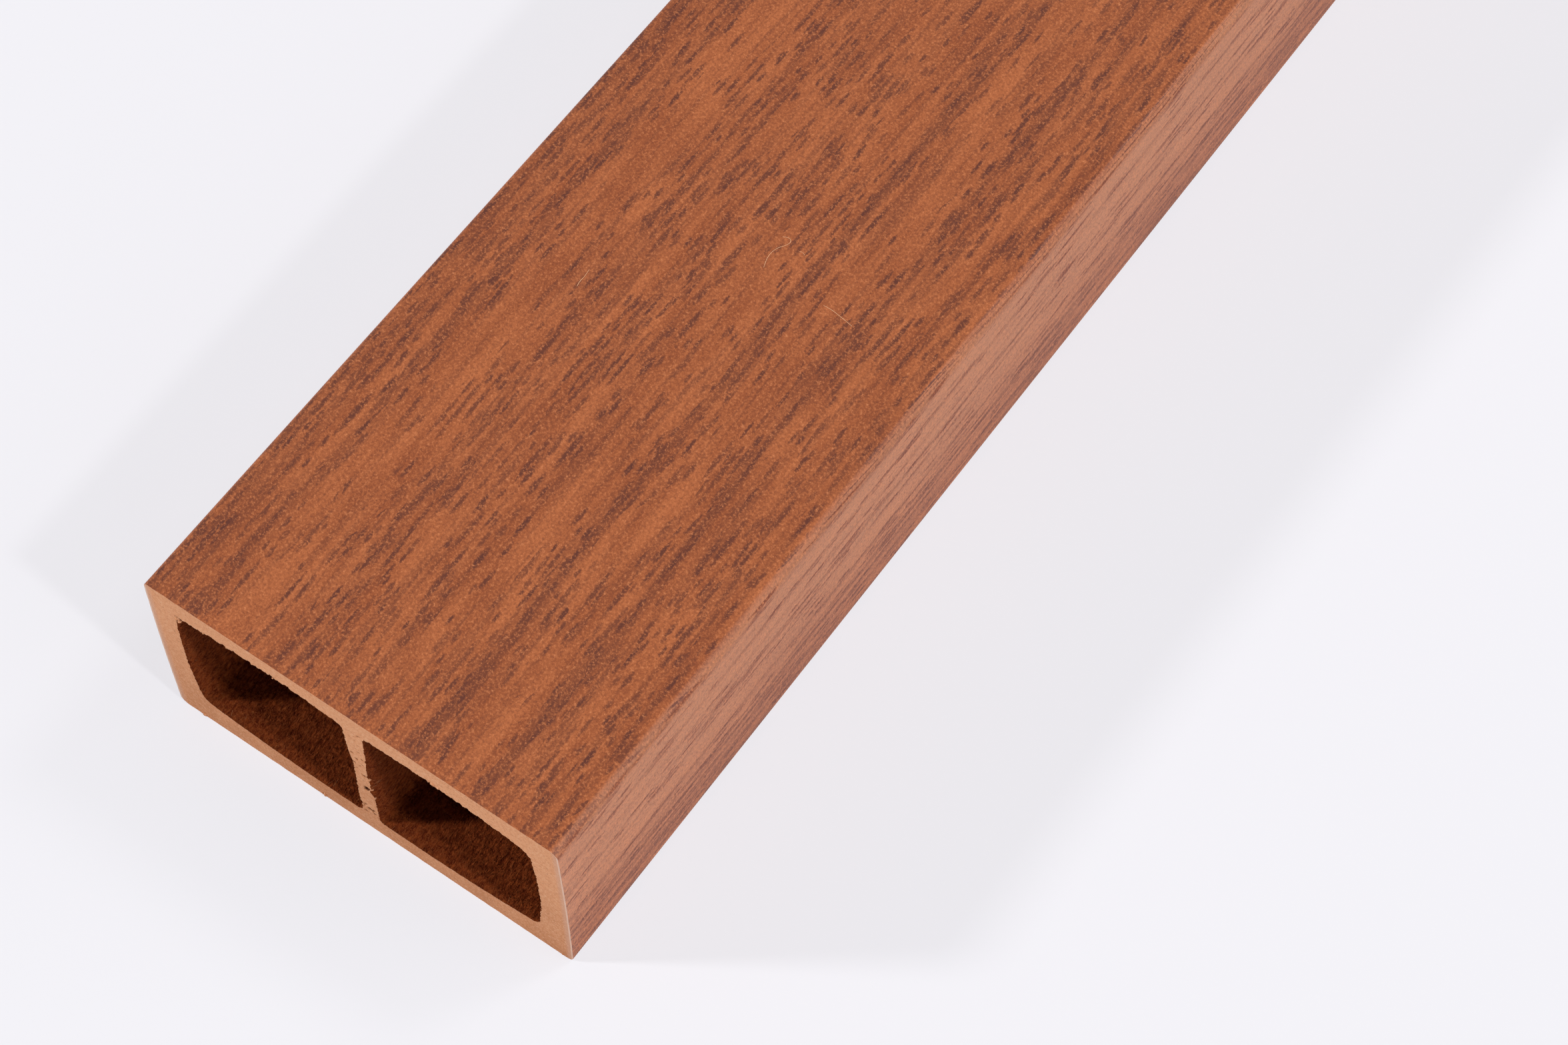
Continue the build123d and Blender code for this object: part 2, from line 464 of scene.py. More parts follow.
# Material: wood-grain foil pressed hot onto the extruded composite. It gives a satin skin with a broad
# brown figure that runs the whole length, soft dark pores along it, and a fine pearly mottle from the flour
# below, with painted highlights, glints and shade in it. The narrow faces are paler under a painted sheen.
# All its sizes are in millimetres, across the grain and then along it.
wood_print, tree = new_material("hot_pressed_wood_print")
print_light, print_mid, print_dark = colour("#AE6239"), colour("#944E2B"), colour("#6A3521")
side_sheen_colour, pore_under_sheen = colour("#C18867"), colour("#70301A")
pore_colour, fleck_highlight_colour, glint_colour = colour("#5A2C20"), colour("#D28050"), colour("#EBB083")
side_sheen_share, streak_share, pore_share = 0.6, 0.68, 0.98
fleck_highlight_share, glint_share, shade_share = 0.60, 0.20, 0.50
# The figure's streaks: place, half width and strength. A place is counted round the outside from the middle
# of the top face, to the right, or to the left below zero. A strength below zero makes a clear band with few
# pores.
figure = [(-46.0, 1.8, 0.7), (-42.0, 1.0, 0.6), (-36.5, 1.3, 0.8), (-28.5, 3.4, -0.6), (-17.5, 0.8, 0.6),
          (-14.0, 1.0, 0.4), (-6.0, 1.2, 0.3), (1.0, 1.0, 0.4), (7.5, 2.0, -0.4), (15.8, 1.3, 1.0),
          (23.0, 2.8, -0.6), (31.8, 1.2, 1.0), (36.0, 0.8, 0.5), (43.0, 0.6, 0.6), (47.0, 0.8, 0.5),
          (52.0, 1.2, 0.5), (59.5, 0.6, 0.6), (65.2, 0.5, 0.4), (69.2, 0.6, 0.7), (72.5, 0.5, 0.4),
          (80.0, 0.6, 0.9), (84.0, 0.5, 0.6), (86.5, 0.7, 1.0), (89.5, 0.8, 0.7), (93.5, 1.0, 0.8),
          (97.5, 1.0, 0.7), (55.5, 2.4, -0.5), (63.0, 2.6, -0.6), (76.0, 2.6, -0.5), (-58.0, 1.7, 0.6),
          (-71.0, 2.0, 0.7), (-86.0, 1.5, 0.6)]
uv = add(tree, "ShaderNodeUVMap", uv_map="print")
on_print = add(tree, "ShaderNodeVectorMath", {0: uv, "Scale": 1 / mm}, operation="SCALE")
fade_cell, tone_cell, crowd_cell, thread_cell = (2.2, 38.0), (5.0, 30.0), (8.0, 26.0), (1.3, 45.0)


def stretched(tree, place, cell):
    """Scales a place so that a pattern of size 1 gets cells of that width and length."""
    return add(tree, "ShaderNodeVectorMath", {0: place, 1: (1 / cell[0], 1 / cell[1], 0)},
               operation="MULTIPLY")


# The grain is nearly straight. It wanders in a slow wave and a slight quiver: width and length of each, and
# how far it sways.
waves = [(30.0, 160.0, 0.9), (6.0, 40.0, 0.25)]
grain = on_print
for width, length, sway in waves:
    wave_place = stretched(tree, on_print, (width, length))
    wave = add(tree, "ShaderNodeTexNoise", {"Vector": wave_place, "Scale": 1.0, "Detail": 2.0},
               noise_dimensions="2D")
    wave = add(tree, "ShaderNodeMapRange", {"Value": wave, "To Min": -2 * sway, "To Max": 2 * sway})
    wave_way = add(tree, "ShaderNodeCombineXYZ", {"X": wave})
    grain = add(tree, "ShaderNodeVectorMath", {0: grain, 1: wave_way}, operation="ADD")
across = add(tree, "ShaderNodeSeparateXYZ", {0: grain}).outputs["X"]

# Each streak of the figure darkens the print where it is the strongest, and each clear band where it is the
# weakest. The streaks fade in and out along the tube.
bands = {"MAXIMUM": None, "MINIMUM": None}
for middle, half, strength in figure:
    away = add(tree, "ShaderNodeMath", {0: across, 1: middle}, operation="SUBTRACT")
    away = add(tree, "ShaderNodeMath", {0: away}, operation="ABSOLUTE")
    band = add(tree, "ShaderNodeMapRange",
               {"Value": away, "From Max": 2.0 * half, "To Min": strength, "To Max": 0.0},
               interpolation_type="SMOOTHSTEP")
    kind = "MAXIMUM" if strength > 0 else "MINIMUM"
    if bands[kind] is not None:
        band = add(tree, "ShaderNodeMath", {0: bands[kind], 1: band}, operation=kind)
    bands[kind] = band
fade_place = stretched(tree, grain, fade_cell)
fade = add(tree, "ShaderNodeTexNoise", {"Vector": fade_place, "Scale": 1.0, "Detail": 2.0},
           noise_dimensions="2D")
fade = add(tree, "ShaderNodeMapRange", {"Value": fade, "From Min": 0.20, "From Max": 0.55})
streak = add(tree, "ShaderNodeMath", {0: bands["MAXIMUM"], 1: fade}, operation="MULTIPLY")
density = add(tree, "ShaderNodeMath", {0: streak, 1: bands["MINIMUM"]}, operation="ADD")

# The ground drifts between two browns in long soft patches.
tone_place = stretched(tree, grain, tone_cell)
tone = add(tree, "ShaderNodeTexNoise",
           {"Vector": tone_place, "Scale": 1.0, "Detail": 3.0, "Roughness": 0.6},
           noise_dimensions="2D")
tone = add(tree, "ShaderNodeMapRange", {"Value": tone, "From Min": 0.32, "From Max": 0.68})

# The mottle of wood flour under the foil is about 0.3 mm across, and is drawn about twice as coarse, so
# that it shows. It is turned so that it lines up with nothing. Its light side is partly the flour and partly
# a painted highlight where the fine emboss catches the light, its brightest specks are painted glints, and
# its dark side is partly painted shade in the dips of the emboss.
fleck_size = 0.55
fleck_place = add(tree, "ShaderNodeMapping", {"Vector": on_print, "Rotation": (0.4, 0.3, 0.6)})
fleck = add(tree, "ShaderNodeTexNoise",
            {"Vector": fleck_place, "Scale": 1 / fleck_size, "Detail": 2.0, "Roughness": 0.8})
fleck_and_highlight = add(tree, "ShaderNodeMapRange", {"Value": fleck, "From Min": 0.50, "From Max": 0.72})
fleck_and_shade = add(tree, "ShaderNodeMapRange", {"Value": fleck, "From Min": 0.50, "From Max": 0.28})
glint = add(tree, "ShaderNodeMapRange", {"Value": fleck, "From Min": 0.64, "From Max": 0.78})

# The pores crowd in some patches and thin out in others.
crowd_place = stretched(tree, grain, crowd_cell)
crowd = add(tree, "ShaderNodeTexNoise", {"Vector": crowd_place, "Scale": 1.0, "Detail": 2.0},
            noise_dimensions="2D")
crowd = add(tree, "ShaderNodeMapRange",
            {"Value": crowd, "From Min": 0.3, "From Max": 0.7, "To Min": -0.3, "To Max": 0.4})
density = add(tree, "ShaderNodeMath", {0: crowd, 1: density}, operation="ADD")

# On the narrow faces a painted sheen makes the figure paler, most of all near the top, and its pores are a
# third longer.
from_top = add(tree, "ShaderNodeMath", {0: across}, operation="ABSOLUTE")
on_side = add(tree, "ShaderNodeMapRange",
              {"Value": from_top, "From Min": side - 0.8, "From Max": side + 1.2})
sheen_towards_top = add(tree, "ShaderNodeMapRange", {"Value": from_top, "From Min": side + 22, "From Max": side + 46,
                                            "To Min": 1.0, "To Max": 0.3})
painted_side_sheen = add(tree, "ShaderNodeMath", {0: on_side, 1: sheen_towards_top}, operation="MULTIPLY")
pore_stretch = add(tree, "ShaderNodeMapRange", {"Value": on_side, "To Min": 1.0, "To Max": 0.75})
pore_stretch = add(tree, "ShaderNodeCombineXYZ", {"X": 1.0, "Y": pore_stretch})
pore_grain = add(tree, "ShaderNodeVectorMath", {0: grain, 1: pore_stretch}, operation="MULTIPLY")

# The printed pores are dark dashes along the grain. Each kind has cells of a width and a length, a share of
# cells that hold a pore, and a darkness. They crowd into the streaks and leave the clear bands.
pore_kinds = [(2.1, 19.0, 0.40, 0.95), (1.9, 11.0, 0.46, 1.0), (1.7, 6.0, 0.36, 0.95)]
pore_rag, crowding, fewer_on_sides, pore_sink = 0.26, 0.6, -0.08, -0.6
shift_across, shift_along = 7.3, 3.1
pore_sum = None
for number, (width, length, share, strength) in enumerate(pore_kinds):
    cell_place = stretched(tree, pore_grain, (width, length))
    kind_shift = (shift_across * number, shift_along * number, 0)
    cell_place = add(tree, "ShaderNodeVectorMath", {0: cell_place, 1: kind_shift}, operation="ADD")
    cells = add(tree, "ShaderNodeTexVoronoi", {"Vector": cell_place, "Scale": 1.0, "Randomness": 0.85},
                voronoi_dimensions="2D")
    ragged = add(tree, "ShaderNodeMath", {0: fleck, 1: pore_rag, 2: cells.outputs["Distance"]},
                 operation="MULTIPLY_ADD")
    chance = add(tree, "ShaderNodeSeparateColor", {0: cells.outputs["Color"]})
    size = add(tree, "ShaderNodeMapRange", {"Value": chance.outputs[2], "To Min": 0.42, "To Max": 0.60})
    dash = add(tree, "ShaderNodeMapRange",
               {"Value": ragged, "From Min": size, "From Max": 0.24, "To Max": strength},
               interpolation_type="SMOOTHSTEP")
    limit = add(tree, "ShaderNodeMath", {0: density, 1: crowding, 2: share}, operation="MULTIPLY_ADD")
    limit = add(tree, "ShaderNodeMath", {0: painted_side_sheen, 1: fewer_on_sides, 2: limit},
                operation="MULTIPLY_ADD")
    chosen = add(tree, "ShaderNodeMath", {0: chance.outputs[0], 1: limit}, operation="LESS_THAN")
    weight = add(tree, "ShaderNodeMath", {0: chance.outputs[1], 1: 0.5, 2: 0.5}, operation="MULTIPLY_ADD")
    dash = add(tree, "ShaderNodeMath", {0: dash, 1: chosen}, operation="MULTIPLY")
    dash = add(tree, "ShaderNodeMath", {0: dash, 1: weight}, operation="MULTIPLY")
    if pore_sum is not None:
        dash = add(tree, "ShaderNodeMath", {0: pore_sum, 1: dash}, operation="MAXIMUM")
    pore_sum = dash

# Faint dark threads run between them, about 1 mm wide, and are about half as strong on the narrow faces.
thread_place = stretched(tree, grain, thread_cell)
thread = add(tree, "ShaderNodeTexNoise",
             {"Vector": thread_place, "Scale": 1.0, "Detail": 1.5, "Roughness": 0.5},
             noise_dimensions="2D")
thread = add(tree, "ShaderNodeMapRange",
             {"Value": thread, "From Min": 0.50, "From Max": 0.75, "To Max": 0.42})
thread_share = add(tree, "ShaderNodeMapRange", {"Value": painted_side_sheen, "To Min": 1.0, "To Max": 0.45})
thread = add(tree, "ShaderNodeMath", {0: thread, 1: thread_share}, operation="MULTIPLY")
pore_sum = add(tree, "ShaderNodeMath", {0: pore_sum, 1: thread}, operation="MAXIMUM")


def laid_over(tree, tint, mask, most, paint):
    """Lays a paint over a tint. The mask says where, and most is its share where the mask is 1."""
    share = add(tree, "ShaderNodeMath", {0: mask, 1: most}, operation="MULTIPLY")
    return add(tree, "ShaderNodeMix", {"Factor": share, "A": tint, "B": paint}, data_type="RGBA")


# The layers of the print, from the ground up, with the painted sheen of the narrow faces over the ground.
# The mottle comes last, because it shows through all of them: its light layers are painted highlights and
# glints along with the pale flecks, and its dark layer is painted shade along with the dark flecks.
tint = add(tree, "ShaderNodeMix", {"Factor": tone, "A": print_mid, "B": print_light}, data_type="RGBA")
tint = laid_over(tree, tint, painted_side_sheen, side_sheen_share, side_sheen_colour)
tint = laid_over(tree, tint, streak, streak_share, print_dark)
pore_here = add(tree, "ShaderNodeMix", {"Factor": painted_side_sheen, "A": pore_colour, "B": pore_under_sheen},
                data_type="RGBA")
tint = laid_over(tree, tint, pore_sum, pore_share, pore_here)
tint = laid_over(tree, tint, fleck_and_highlight, fleck_highlight_share, fleck_highlight_colour)
tint = laid_over(tree, tint, glint, glint_share, glint_colour)
tint = laid_over(tree, tint, fleck_and_shade, shade_share, pore_colour)

# The pores sink a little into the foil, and the mottle varies its gloss.
print_height = add(tree, "ShaderNodeMath", {0: pore_sum, 1: pore_sink, 2: fleck}, operation="MULTIPLY_ADD")
print_bump = add(tree, "ShaderNodeBump", {"Height": print_height, "Strength": 0.07, "Distance": 0.03 * mm})
print_gloss = add(tree, "ShaderNodeMapRange", {"Value": fleck, "To Min": 0.46, "To Max": 0.36})
skin = add(tree, "ShaderNodeBsdfPrincipled", {"Base Color": tint, "Roughness": print_gloss, "IOR": 1.46,
                                              "Specular IOR Level": 0.32, "Normal": print_bump})
add(tree, "ShaderNodeOutputMaterial", {"Surface": skin})


def place_in_mm(tree):
    """The place on the piece in millimetres, for a pattern that fills the solid."""
    place = add(tree, "ShaderNodeTexCoord").outputs["Object"]
    return add(tree, "ShaderNodeVectorMath", {0: place, "Scale": 1 / mm}, operation="SCALE")


# Material: sawn wood and plastic composite. The blade leaves it dull and powdery, paler than the skin, with
# specks of wood flour, small open pores of the foam, and the thin edge of the foil down its sides. The open
# pores and the torn holes are painted dark as shade.
sawn_composite, tree = new_material("sawn_wood_composite")
cut_base, cut_warm, cut_grey = colour("#DD9B6F"), colour("#BE7E54"), colour("#CFA28C")
speck_light, speck_dark = colour("#EBC5A6"), colour("#93583A")
pit_shade_colour = colour("#5A2A16")
foil_edge = colour("#E8CDBB")
cloud_size, flour_size, foam_spacing = 9.0, 0.42, 1.5
light_share, dark_share, pore_shade_share, grey_share, foil_share = 0.55, 0.62, 0.6, 0.5, 0.55
on_cut = place_in_mm(tree)
spots = add(tree, "ShaderNodeSeparateXYZ", {0: on_cut})
# The cut is warmer towards the underside, in soft clouds.
cloud = add(tree, "ShaderNodeTexNoise", {"Vector": on_cut, "Scale": 1 / cloud_size, "Detail": 3.0})
cloud = add(tree, "ShaderNodeMapRange", {"Value": cloud, "From Min": 0.3, "From Max": 0.7})
low_down = add(tree, "ShaderNodeMapRange",
               {"Value": spots.outputs["Z"], "From Min": top * 0.8, "From Max": 0.0})
cloud = add(tree, "ShaderNodeMapRange", {"Value": cloud, "To Min": 0.45, "To Max": 1.0})
warm_share = add(tree, "ShaderNodeMath", {0: low_down, 1: cloud}, operation="MULTIPLY")
tint = add(tree, "ShaderNodeMix", {"Factor": warm_share, "A": cut_base, "B": cut_warm}, data_type="RGBA")
# Specks of wood flour, light and dark.
flour = add(tree, "ShaderNodeTexNoise",
            {"Vector": on_cut, "Scale": 1 / flour_size, "Detail": 3.0, "Roughness": 0.7})
flour_light = add(tree, "ShaderNodeMapRange", {"Value": flour, "From Min": 0.5, "From Max": 0.75})
flour_dark = add(tree, "ShaderNodeMapRange", {"Value": flour, "From Min": 0.46, "From Max": 0.22})
tint = laid_over(tree, tint, flour_light, light_share, speck_light)
tint = laid_over(tree, tint, flour_dark, dark_share, speck_dark)
# Pores of the foam. Some of the cells are open, and the hole in the middle of each is painted dark as shade.
foam = add(tree, "ShaderNodeTexVoronoi", {"Vector": on_cut, "Scale": 1 / foam_spacing})
foam_hole = add(tree, "ShaderNodeMapRange",
                {"Value": foam.outputs["Distance"], "From Min": 0.16, "From Max": 0.06})
foam_chance = add(tree, "ShaderNodeSeparateColor", {0: foam.outputs["Color"]})
foam_open = add(tree, "ShaderNodeMath", {0: foam_chance.outputs[0], 1: 0.3}, operation="LESS_THAN")
foam_hole = add(tree, "ShaderNodeMath", {0: foam_hole, 1: foam_open}, operation="MULTIPLY")
tint = laid_over(tree, tint, foam_hole, pore_shade_share, speck_dark)
# Near the sides the cut is greyer, and the foil's edge is a pale line. Both follow the bow of the sides.
from_side = add(tree, "ShaderNodeMath", {0: spots.outputs["X"]}, operation="ABSOLUTE")
bulge = add(tree, "ShaderNodeMath", {0: spots.outputs["Z"], 1: top / 2}, operation="SUBTRACT")
bulge = add(tree, "ShaderNodeMath", {0: bulge, 1: bulge}, operation="MULTIPLY")
bulge = add(tree, "ShaderNodeMath", {0: bulge, 1: side_bow / (top / 2) ** 2}, operation="MULTIPLY")
from_side = add(tree, "ShaderNodeMath", {0: from_side, 1: bulge}, operation="ADD")
grey_band = add(tree, "ShaderNodeMapRange",
                {"Value": from_side, "From Min": side - 1.4, "From Max": side - 0.5})
tint = laid_over(tree, tint, grey_band, grey_share, cut_grey)
foil_band = add(tree, "ShaderNodeMapRange",
                {"Value": from_side, "From Min": side - 0.15, "From Max": side + 0.05})
tint = laid_over(tree, tint, foil_band, foil_share, foil_edge)
# Where the saw pulled grains out, the hole is painted dark as shade, the darker the deeper it goes.
torn_pit_shade = add(tree, "ShaderNodeAttribute", attribute_name="dent").outputs["Fac"]
torn_pit_shade = add(tree, "ShaderNodeMapRange", {"Value": torn_pit_shade, "From Min": 0.09 * mm, "From Max": 0.35 * mm})
tint = add(tree, "ShaderNodeMix", {"Factor": torn_pit_shade, "A": tint, "B": pit_shade_colour}, data_type="RGBA")
cut_height = add(tree, "ShaderNodeMath", {0: foam_hole, 1: -1.0, 2: flour}, operation="MULTIPLY_ADD")
cut_bump = add(tree, "ShaderNodeBump", {"Height": cut_height, "Strength": 0.5, "Distance": 0.12 * mm})
cut_skin = add(tree, "ShaderNodeBsdfPrincipled", {"Base Color": tint, "Roughness": 0.85, "IOR": 1.45,
                                                  "Specular IOR Level": 0.25, "Normal": cut_bump})
add(tree, "ShaderNodeOutputMaterial", {"Surface": cut_skin})

# Material: composite as the die leaves it inside the chambers. It cools in still air, so it is darker than
# the cut: a deep reddish brown felt of flour and fibre, in strands along the tube, with painted highlights
# on the strands' tips and painted shade in the hollows between them.
chamber_skin, tree = new_material("extruded_composite_skin")
nap_hollow_shade, nap_mid, nap_tip_highlight = colour("#56200D"), colour("#8C431F"), colour("#B4683A")
clump_size, clump_stretch = 0.9, (1.0, 0.7, 1.0)
strand_size, strand_stretch = 0.42, (1.0, 0.28, 0.6)
on_wall = place_in_mm(tree)
# Clumps of felt with strands over them. The tips are painted pale as highlights and the hollows between
# them painted dark as shade.
clump_place = add(tree, "ShaderNodeVectorMath", {0: on_wall, 1: clump_stretch}, operation="MULTIPLY")
clumps = add(tree, "ShaderNodeTexNoise",
             {"Vector": clump_place, "Scale": 1 / clump_size, "Detail": 3.0, "Roughness": 0.7})
clump_tone = add(tree, "ShaderNodeMapRange", {"Value": clumps, "From Min": 0.36, "From Max": 0.62})
tint = add(tree, "ShaderNodeMix", {"Factor": clump_tone, "A": nap_hollow_shade, "B": nap_mid}, data_type="RGBA")
strand_place = add(tree, "ShaderNodeVectorMath", {0: on_wall, 1: strand_stretch}, operation="MULTIPLY")
strands = add(tree, "ShaderNodeTexNoise",
              {"Vector": strand_place, "Scale": 1 / strand_size, "Detail": 2.0, "Roughness": 0.7,
               "Distortion": 0.5})
strand_highlight_share = add(tree, "ShaderNodeMapRange",
                   {"Value": strands, "From Min": 0.52, "From Max": 0.75, "To Max": 0.4})
tint = add(tree, "ShaderNodeMix", {"Factor": strand_highlight_share, "A": tint, "B": nap_tip_highlight}, data_type="RGBA")
hollow_shade_share = add(tree, "ShaderNodeMapRange",
                   {"Value": strands, "From Min": 0.48, "From Max": 0.28, "To Max": 0.7})
tint = add(tree, "ShaderNodeMix", {"Factor": hollow_shade_share, "A": tint, "B": nap_hollow_shade}, data_type="RGBA")
nap_height = add(tree, "ShaderNodeMath", {0: strands, 1: 0.5, 2: clumps}, operation="MULTIPLY_ADD")
nap_bump = add(tree, "ShaderNodeBump", {"Height": nap_height, "Strength": 1.0, "Distance": 0.7 * mm})
nap = add(tree, "ShaderNodeBsdfPrincipled", {"Base Color": tint, "Roughness": 0.9, "IOR": 1.45,
                                             "Specular IOR Level": 0.03, "Normal": nap_bump})
add(tree, "ShaderNodeOutputMaterial", {"Surface": nap})


def made_with(tree, piece, sizes):
    """Gives a piece the tree's result as a plain mesh, with the tree's inputs given by name."""
    modifier = piece.modifiers.new(tree.name, "NODES")
    modifier.node_group = tree
    for item in tree.interface.items_tree:
        if item.in_out == "INPUT" and item.name in sizes:
            modifier[item.identifier] = sizes[item.name]
    result = bpy.data.meshes.new_from_object(piece.evaluated_get(bpy.context.evaluated_depsgraph_get()))
    piece.modifiers.remove(modifier)
    piece.data = result
    result.name = piece.name
    if "Material" in sizes:
        result.materials.clear()
        result.materials.append(sizes["Material"])
        result.polygons.foreach_set("material_index", [0] * len(result.polygons))
    return result


for material in (wood_print, chamber_skin, sawn_composite):
    cut.materials.append(material)
finished = made_with(sweep, tube, {
    "Half Length": half_length * mm, "Even Gap": even_gap * mm, "Near Growth": near_growth,
    "Far Growth": far_growth, "Fray Depth": 1.6 * mm, "Wall Relief": 0.5 * mm, "Even Rings": even_rings,
    "Near Rings": near_rings, "Far Rings": far_rings, "Print": wood_print, "Chamber": chamber_skin,
    "Cut": sawn_composite,
})

# The print's own map, in metres: round from the middle of the top face, and along from the near end.
walls = finished.attributes["wrap"].data
print_map = finished.uv_layers.new(name="print")
point_wrap = np.zeros(len(finished.vertices))
walls.foreach_get("value", point_wrap)
point_place = np.zeros(len(finished.vertices) * 3)
finished.vertices.foreach_get("co", point_place)
point_place = point_place.reshape(-1, 3)
loop_point = np.zeros(len(finished.loops), int)
finished.loops.foreach_get("vertex_index", loop_point)
loop_wrap = point_wrap[loop_point]
for polygon in finished.polygons:
    span = slice(polygon.loop_start, polygon.loop_start + polygon.loop_total)
    here = loop_wrap[span]
    if here.max() - here.min() > girth / 2 * mm and here.max() < wrap_limit:
        loop_wrap[span] = np.where(here < 0, here + girth * mm, here)
loop_along = point_place[loop_point, 1] - near_end * mm
print_map.data.foreach_set("uv", np.stack([loop_wrap, loop_along], axis=1).ravel())
sharp_angle = 50
finished.set_sharp_from_angle(angle=math.radians(sharp_angle))

# A second map lays the whole surface out once, with no overlap, for a baked copy of the part. The print
# fills the upper two thirds, and its first stretch at the near end gets nearly half the width. Below it lie
# the near cut, and beside that the far cut and the walls of the chambers, with the most room for the
# stretch behind each mouth.
length = far_end - near_end
print_stops = ([0, 260, length - 100, length], [0.004, 0.444, 0.936, 0.996])
print_rows, near_cut_low, near_cut_size = (0.314, 0.992), (0.006, 0.006), 0.0048
far_cut_low, far_cut_size = (0.506, 0.006), 0.0024
wall_stops = ([0, 60, length - 60, length], [0.146, 0.206, 0.236, 0.294])
wall_columns = {-1: (0.506, 0.744), 1: (0.756, 0.992)}
printed_part, chamber_part, cut_part = 0, 1, 2
cut_margin = [side + 0.5, 0.2]
loop_place = point_place[loop_point] / mm
part_of = np.repeat([p.material_index for p in finished.polygons],
                    [p.loop_total for p in finished.polygons])
hand = np.where(loop_place[:, 0] < 0, -1, 1)
turn = np.arctan2(loop_place[:, 2] - top / 2, loop_place[:, 0] - hand * side / 2) / math.tau + 0.5
for polygon in finished.polygons:
    span = slice(polygon.loop_start, polygon.loop_start + polygon.loop_total)
    if part_of[polygon.loop_start] == chamber_part and np.ptp(turn[span]) > 0.5:
        turn[span] += turn[span] < 0.5
bake_place = np.zeros((len(loop_place), 2))
on_outside = part_of == printed_part
bake_place[on_outside, 0] = np.interp(loop_along[on_outside] / mm, *print_stops)
round_share = 0.5 - loop_wrap[on_outside] / (girth * mm)
bake_place[on_outside, 1] = print_rows[0] + round_share * np.ptp(print_rows)
for way, low, size in [(1, near_cut_low, near_cut_size), (-1, far_cut_low, far_cut_size)]:
    here = (part_of == cut_part) & (loop_place[:, 1] * way < 0)
    bake_place[here] = low + (loop_place[here][:, [0, 2]] * [way, 1] + cut_margin) * size
for sign, (low, high) in wall_columns.items():
    here = (part_of == chamber_part) & (hand == sign)
    bake_place[here, 0] = low + turn[here] * (high - low)
    bake_place[here, 1] = np.interp(loop_along[here] / mm, *wall_stops)
bake_map = finished.uv_layers.new(name="OFBake")
bake_map.data.foreach_set("uv", bake_place.ravel())

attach(tube, "root")
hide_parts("tube")

# The nap in the chambers
# Wood fibres that stand out of the rough inner walls like felt. They are part of the extruded composite,
# dragged inwards by the melt, and thin out of sight further in, so only the first stretch at each end
# carries them.
fibres, given = new_shape_tree("wall_fibres", {
    "Float": ["Deepest", "Density", "Length", "Thickness", "Rise", "Spread"],
    "Int": ["Seed"],
    "Material": ["Material"],
})
kept_depth = add(fibres, "GeometryNodeInputNamedAttribute", {"Name": "depth"}, data_type="FLOAT")
kept_wrap = add(fibres, "GeometryNodeInputNamedAttribute", {"Name": "wrap"}, data_type="FLOAT")
in_chamber = add(fibres, "FunctionNodeCompare", {0: kept_wrap, 1: wrap_limit}, data_type="FLOAT",
                 operation="GREATER_THAN")
is_wall = add(fibres, "GeometryNodeInputNamedAttribute", {"Name": "wall"}, data_type="BOOLEAN")
shallow = add(fibres, "FunctionNodeCompare", {0: kept_depth, 1: given["Deepest"]}, data_type="FLOAT",
              operation="LESS_THAN")
rooted = add(fibres, "FunctionNodeBooleanMath", {0: in_chamber, 1: is_wall}, operation="AND")
rooted = add(fibres, "FunctionNodeBooleanMath", {0: rooted, 1: shallow}, operation="AND")
thinning = add(fibres, "ShaderNodeMapRange",
               {"Value": kept_depth, "From Max": given["Deepest"], "To Min": 1.0, "To Max": 0.35})
density = add(fibres, "ShaderNodeMath", {0: thinning, 1: given["Density"]}, operation="MULTIPLY")
roots = add(fibres, "GeometryNodeDistributePointsOnFaces",
            {"Mesh": given["Geometry"], "Selection": rooted, "Density": density, "Seed": given["Seed"]})
root_y = add(fibres, "ShaderNodeSeparateXYZ", {0: add(fibres, "GeometryNodeInputPosition")}).outputs["Y"]
inward = add(fibres, "ShaderNodeMath", {0: root_y}, operation="SIGN")
inward = add(fibres, "ShaderNodeMath", {0: inward, 1: -1.0}, operation="MULTIPLY")
inward = add(fibres, "ShaderNodeCombineXYZ", {"Y": inward})
rise = add(fibres, "ShaderNodeVectorMath", {0: roots.outputs["Normal"], "Scale": given["Rise"]},
           operation="SCALE")
lean = add(fibres, "ShaderNodeVectorMath", {0: inward, 1: rise}, operation="ADD")
stray = add(fibres, "FunctionNodeRandomValue",
            {"Min": (-1, -1, -1), "Max": (1, 1, 1), "Seed": given["Seed"]},
            data_type="FLOAT_VECTOR")
stray = add(fibres, "ShaderNodeVectorMath", {0: stray, "Scale": given["Spread"]}, operation="SCALE")
lean = add(fibres, "ShaderNodeVectorMath", {0: lean, 1: stray}, operation="ADD")
turned = add(fibres, "FunctionNodeAlignRotationToVector", {"Vector": lean}, axis="Z")
fibre = add(fibres, "GeometryNodeMeshCone",
            {"Vertices": 3, "Radius Top": 0.0, "Radius Bottom": given["Thickness"],
             "Depth": given["Length"]})
fibre_z = add(fibres, "ShaderNodeSeparateXYZ", {0: add(fibres, "GeometryNodeInputPosition")}).outputs["Z"]
tip = add(fibres, "ShaderNodeMath", {0: fibre_z, 1: given["Length"]}, operation="DIVIDE")
fibre = add(fibres, "GeometryNodeStoreNamedAttribute",
            {"Geometry": fibre.outputs["Mesh"], "Name": "tip", "Value": tip},
            data_type="FLOAT", domain="POINT")
grown = add(fibres, "FunctionNodeRandomValue", {"Min": 0.5, "Max": 1.4, "Seed": given["Seed"]},
            data_type="FLOAT")
standing = add(fibres, "GeometryNodeInstanceOnPoints",
               {"Points": roots.outputs["Points"], "Instance": fibre, "Rotation": turned, "Scale": grown})
real = add(fibres, "GeometryNodeRealizeInstances", {0: standing})
real = add(fibres, "GeometryNodeSetMaterial", {"Geometry": real, "Material": given["Material"]})
add(fibres, "NodeGroupOutput", {0: real})
